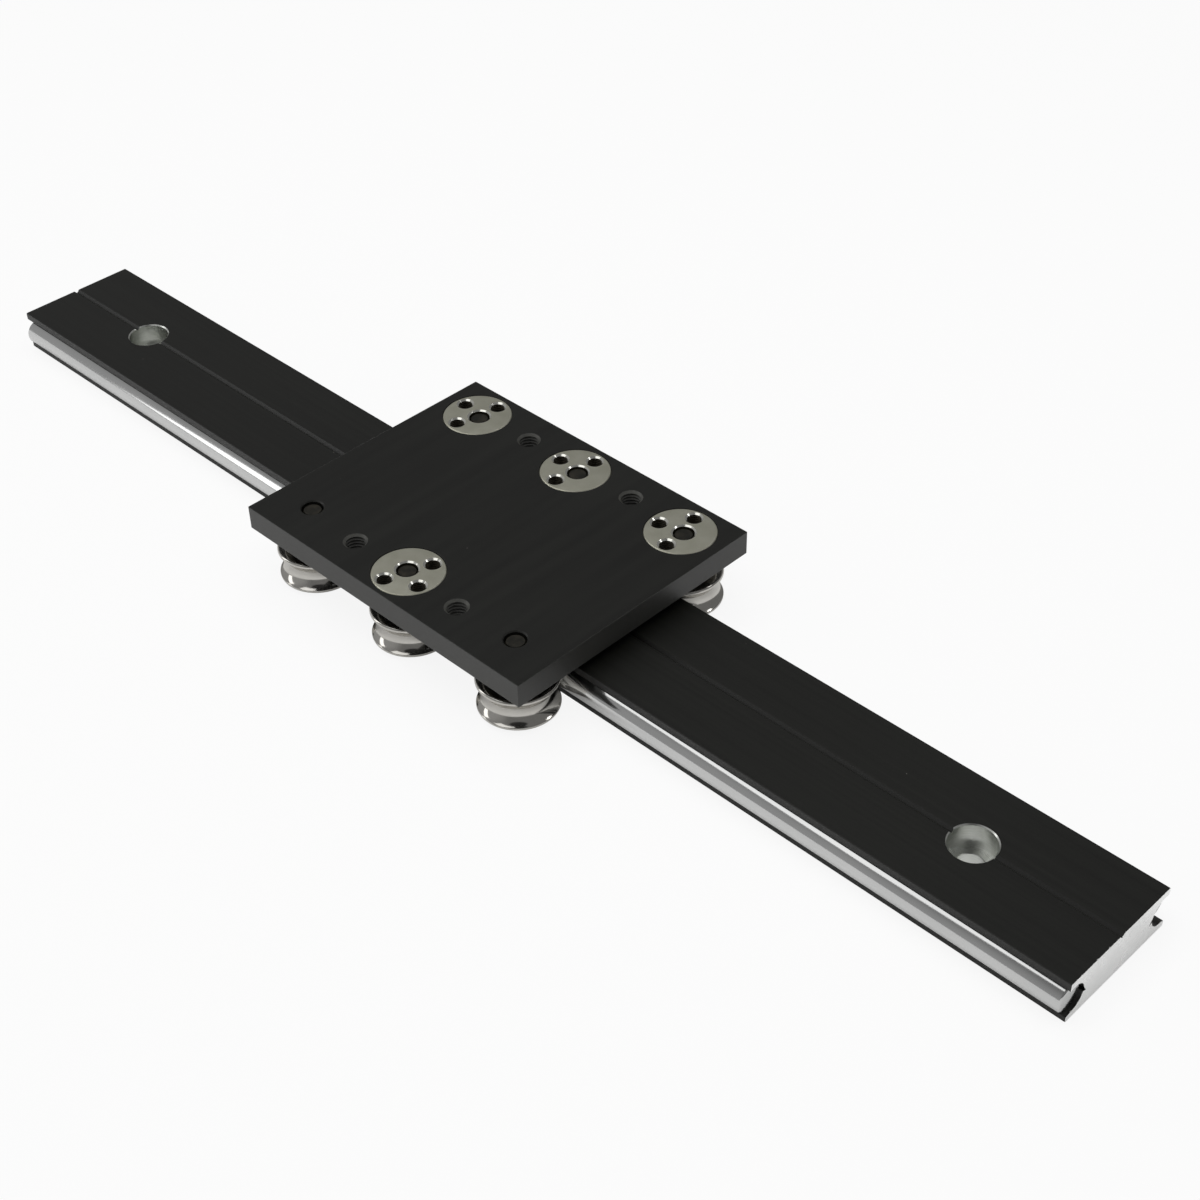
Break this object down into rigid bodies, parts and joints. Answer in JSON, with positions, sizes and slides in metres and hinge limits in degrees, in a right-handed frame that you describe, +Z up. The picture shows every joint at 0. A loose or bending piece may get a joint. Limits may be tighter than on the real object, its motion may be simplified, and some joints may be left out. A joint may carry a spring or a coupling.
{
  "type": "linear guide rail",
  "caption": "Low-profile linear guide: a black rail with a round steel shaft let into each side, and a flat carriage plate that runs along them on grooved rollers.",
  "frame": {"origin": "middle of the rail's bottom face, on the surface that the rail is screwed to", "axes": "+X along the rail, +Y across it towards the side with three eccentric bushings, +Z up from the rail's bottom face to the carriage plate"},
  "size_m": [0.5, 0.1054, 0.0285],
  "materials": {
    "black_anodised": "satin black anodised aluminium",
    "ground_steel": "hardened, ground and hard-chromed steel",
    "polished_steel": "polished bearing steel",
    "turned_steel": "turned steel, zinc plated",
    "nickel_plate": "satin nickel plate",
    "blackened_steel": "blackened steel",
    "shield_rubber": "black moulded rubber"
  },
  "bodies": {
    "rail": {"rail_extrusion": "black_anodised", "front_shaft": "ground_steel", "back_shaft": "ground_steel"},
    "carriage": {"carriage_plate": "black_anodised", "axle_screw_front_left": "blackened_steel", "inner_ring_front_left": "polished_steel", "collar_front_left": "turned_steel", "axle_screw_front_right": "blackened_steel", "inner_ring_front_right": "polished_steel", "collar_front_right": "turned_steel"},
    "roller_front_left": {"outer_ring_front_left": "polished_steel", "upper_shield_front_left": "shield_rubber", "lower_shield_front_left": "shield_rubber"},
    "cage_front_left": {"ball_cage_front_left": "polished_steel"},
    "bushing_front_middle": {"eccentric_bushing_front_middle": "nickel_plate", "axle_screw_front_middle": "blackened_steel", "inner_ring_front_middle": "polished_steel", "collar_front_middle": "turned_steel"},
    "roller_front_middle": {"outer_ring_front_middle": "polished_steel", "upper_shield_front_middle": "shield_rubber", "lower_shield_front_middle": "shield_rubber"},
    "cage_front_middle": {"ball_cage_front_middle": "polished_steel"},
    "roller_front_right": {"outer_ring_front_right": "polished_steel", "upper_shield_front_right": "shield_rubber", "lower_shield_front_right": "shield_rubber"},
    "cage_front_right": {"ball_cage_front_right": "polished_steel"},
    "bushing_back_left": {"eccentric_bushing_back_left": "nickel_plate", "axle_screw_back_left": "blackened_steel", "inner_ring_back_left": "polished_steel", "collar_back_left": "turned_steel"},
    "roller_back_left": {"outer_ring_back_left": "polished_steel", "upper_shield_back_left": "shield_rubber", "lower_shield_back_left": "shield_rubber"},
    "cage_back_left": {"ball_cage_back_left": "polished_steel"},
    "bushing_back_middle": {"eccentric_bushing_back_middle": "nickel_plate", "axle_screw_back_middle": "blackened_steel", "inner_ring_back_middle": "polished_steel", "collar_back_middle": "turned_steel"},
    "roller_back_middle": {"outer_ring_back_middle": "polished_steel", "upper_shield_back_middle": "shield_rubber", "lower_shield_back_middle": "shield_rubber"},
    "cage_back_middle": {"ball_cage_back_middle": "polished_steel"},
    "bushing_back_right": {"eccentric_bushing_back_right": "nickel_plate", "axle_screw_back_right": "blackened_steel", "inner_ring_back_right": "polished_steel", "collar_back_right": "turned_steel"},
    "roller_back_right": {"outer_ring_back_right": "polished_steel", "upper_shield_back_right": "shield_rubber", "lower_shield_back_right": "shield_rubber"},
    "cage_back_right": {"ball_cage_back_right": "polished_steel"}
  },
  "joints": [
    {"name": "carriage_slide", "type": "slide", "parent": "rail", "child": "carriage", "axis": [1, 0, 0], "range_m": [-0.1845, 0.1825]},
    {"name": "roller_spin_front_left", "type": "hinge", "parent": "carriage", "child": "roller_front_left", "pos_m": [-0.049, -0.03805, 0.00775], "axis": [0, 0, 1], "continuous": true},
    {"name": "cage_orbit_front_left", "type": "hinge", "parent": "carriage", "child": "cage_front_left", "pos_m": [-0.049, -0.03805, 0.00775], "axis": [0, 0, 1], "continuous": true},
    {"name": "bushing_turn_front_middle", "type": "hinge", "parent": "carriage", "child": "bushing_front_middle", "pos_m": [0.001, -0.0385, 0.024], "axis": [0, 0, 1], "range_deg": [0, 220]},
    {"name": "roller_spin_front_middle", "type": "hinge", "parent": "bushing_front_middle", "child": "roller_front_middle", "pos_m": [-0.00022, -0.03805, 0.00775], "axis": [0, 0, 1], "continuous": true},
    {"name": "cage_orbit_front_middle", "type": "hinge", "parent": "bushing_front_middle", "child": "cage_front_middle", "pos_m": [-0.00022, -0.03805, 0.00775], "axis": [0, 0, 1], "continuous": true},
    {"name": "roller_spin_front_right", "type": "hinge", "parent": "carriage", "child": "roller_front_right", "pos_m": [0.051, -0.03805, 0.00775], "axis": [0, 0, 1], "continuous": true},
    {"name": "cage_orbit_front_right", "type": "hinge", "parent": "carriage", "child": "cage_front_right", "pos_m": [0.051, -0.03805, 0.00775], "axis": [0, 0, 1], "continuous": true},
    {"name": "bushing_turn_back_left", "type": "hinge", "parent": "carriage", "child": "bushing_back_left", "pos_m": [-0.049, 0.03832, 0.024], "axis": [0, 0, 1], "range_deg": [0, 204]},
    {"name": "roller_spin_back_left", "type": "hinge", "parent": "bushing_back_left", "child": "roller_back_left", "pos_m": [-0.04773, 0.03805, 0.00775], "axis": [0, 0, 1], "continuous": true},
    {"name": "cage_orbit_back_left", "type": "hinge", "parent": "bushing_back_left", "child": "cage_back_left", "pos_m": [-0.04773, 0.03805, 0.00775], "axis": [0, 0, 1], "continuous": true},
    {"name": "bushing_turn_back_middle", "type": "hinge", "parent": "carriage", "child": "bushing_back_middle", "pos_m": [0.001, 0.03823, 0.024], "axis": [0, 0, 1], "range_deg": [0, 196]},
    {"name": "roller_spin_back_middle", "type": "hinge", "parent": "bushing_back_middle", "child": "roller_back_middle", "pos_m": [0.00229, 0.03805, 0.00775], "axis": [0, 0, 1], "continuous": true},
    {"name": "cage_orbit_back_middle", "type": "hinge", "parent": "bushing_back_middle", "child": "cage_back_middle", "pos_m": [0.00229, 0.03805, 0.00775], "axis": [0, 0, 1], "continuous": true},
    {"name": "bushing_turn_back_right", "type": "hinge", "parent": "carriage", "child": "bushing_back_right", "pos_m": [0.051, 0.03782, 0.024], "axis": [0, 0, 1], "range_deg": [0, 160]},
    {"name": "roller_spin_back_right", "type": "hinge", "parent": "bushing_back_right", "child": "roller_back_right", "pos_m": [0.05228, 0.03805, 0.00775], "axis": [0, 0, 1], "continuous": true},
    {"name": "cage_orbit_back_right", "type": "hinge", "parent": "bushing_back_right", "child": "cage_back_right", "pos_m": [0.05228, 0.03805, 0.00775], "axis": [0, 0, 1], "continuous": true}
  ],
  "couplings": [
    {"joint": "roller_spin_front_left", "follows": "carriage_slide", "rad_per_m": 90.498},
    {"joint": "cage_orbit_front_left", "follows": "carriage_slide", "rad_per_m": 55.032},
    {"joint": "roller_spin_front_middle", "follows": "carriage_slide", "rad_per_m": 90.498},
    {"joint": "cage_orbit_front_middle", "follows": "carriage_slide", "rad_per_m": 55.032},
    {"joint": "roller_spin_front_right", "follows": "carriage_slide", "rad_per_m": 90.498},
    {"joint": "cage_orbit_front_right", "follows": "carriage_slide", "rad_per_m": 55.032},
    {"joint": "roller_spin_back_left", "follows": "carriage_slide", "rad_per_m": -90.498},
    {"joint": "cage_orbit_back_left", "follows": "carriage_slide", "rad_per_m": -55.032},
    {"joint": "roller_spin_back_middle", "follows": "carriage_slide", "rad_per_m": -90.498},
    {"joint": "cage_orbit_back_middle", "follows": "carriage_slide", "rad_per_m": -55.032},
    {"joint": "roller_spin_back_right", "follows": "carriage_slide", "rad_per_m": -90.498},
    {"joint": "cage_orbit_back_right", "follows": "carriage_slide", "rad_per_m": -55.032}
  ]
}
